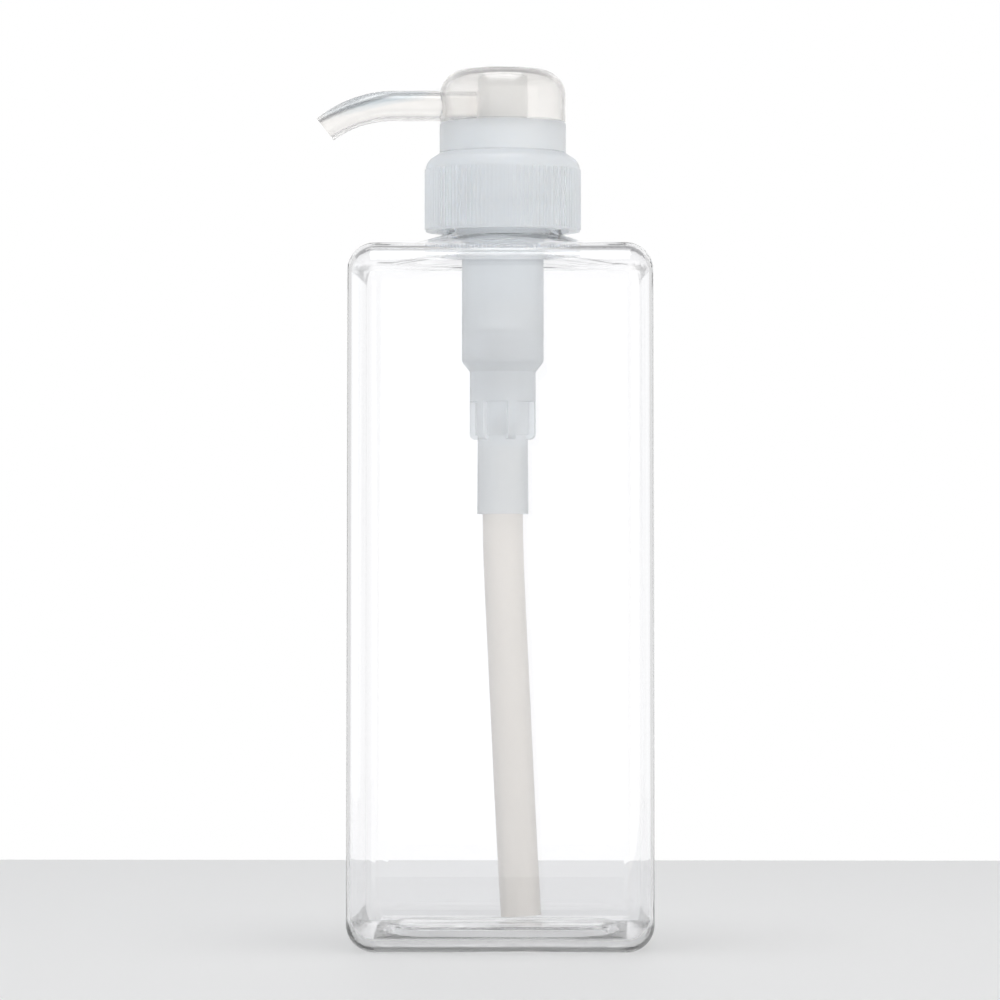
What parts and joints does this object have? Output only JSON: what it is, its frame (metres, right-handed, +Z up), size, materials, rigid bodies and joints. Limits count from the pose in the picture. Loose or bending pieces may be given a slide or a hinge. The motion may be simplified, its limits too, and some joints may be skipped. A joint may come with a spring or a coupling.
{
  "type": "soap pump dispenser",
  "caption": "Clear square refill bottle with a ribbed screw cap, a lock collar and a domed push pump with a long drooping nozzle and a dip tube.",
  "frame": {"origin": "centre of the bottle's standing ring, on the table and on the neck's axis", "axes": "+Z up along the neck and pump axis; -X the way the nozzle points; -Y out of the front face"},
  "size_m": [0.0722, 0.0646, 0.1878],
  "materials": {
    "clear_bottle": "clear, colourless, high gloss",
    "natural_plastic": "milky translucent, faintly blue, satin gloss",
    "clear_head": "translucent, faintly warm, glossy",
    "tube_plastic": "translucent warm white, satin",
    "gasket_foam": "white closed-cell foam",
    "spring_steel": "drawn stainless wire",
    "ball_steel": "polished stainless"
  },
  "bodies": {
    "bottle": {"bottle": "clear_bottle"},
    "pump_core": {"housing": "natural_plastic", "lock_collar": "natural_plastic", "neck_gasket": "gasket_foam", "dip_tube": "tube_plastic"},
    "closure": {"closure": "natural_plastic"},
    "spring": {"return_spring": "spring_steel"},
    "plunger": {"head": "clear_head", "stem": "natural_plastic", "valve_rod": "natural_plastic"},
    "piston": {"piston": "tube_plastic"},
    "inlet_ball": {"inlet_ball": "ball_steel"}
  },
  "joints": [
    {"name": "pump_rise", "type": "slide", "parent": "bottle", "child": "pump_core", "axis": [0, 0, 1], "range_m": [0, 0.0059]},
    {"name": "closure_turn", "type": "hinge", "parent": "pump_core", "child": "closure", "pos_m": [0, 0, 0.16], "axis": [0, 0, 1], "range_deg": [0, 495]},
    {"name": "head_swivel", "type": "hinge", "parent": "pump_core", "child": "spring", "pos_m": [0, 0, 0.17], "axis": [0, 0, 1], "continuous": true},
    {"name": "head_slide", "type": "slide", "parent": "spring", "child": "plunger", "axis": [0, 0, 1], "range_m": [0, 0.0155], "deforming": ["return_spring"]},
    {"name": "piston_lift", "type": "slide", "parent": "plunger", "child": "piston", "axis": [0, 0, 1], "range_m": [0, 0.0013]},
    {"name": "ball_lift", "type": "slide", "parent": "pump_core", "child": "inlet_ball", "axis": [0, 0, 1], "range_m": [0, 0.002]}
  ],
  "couplings": [
    {"joint": "pump_rise", "follows": "closure_turn", "m_per_rad": 0.00067322}
  ]
}
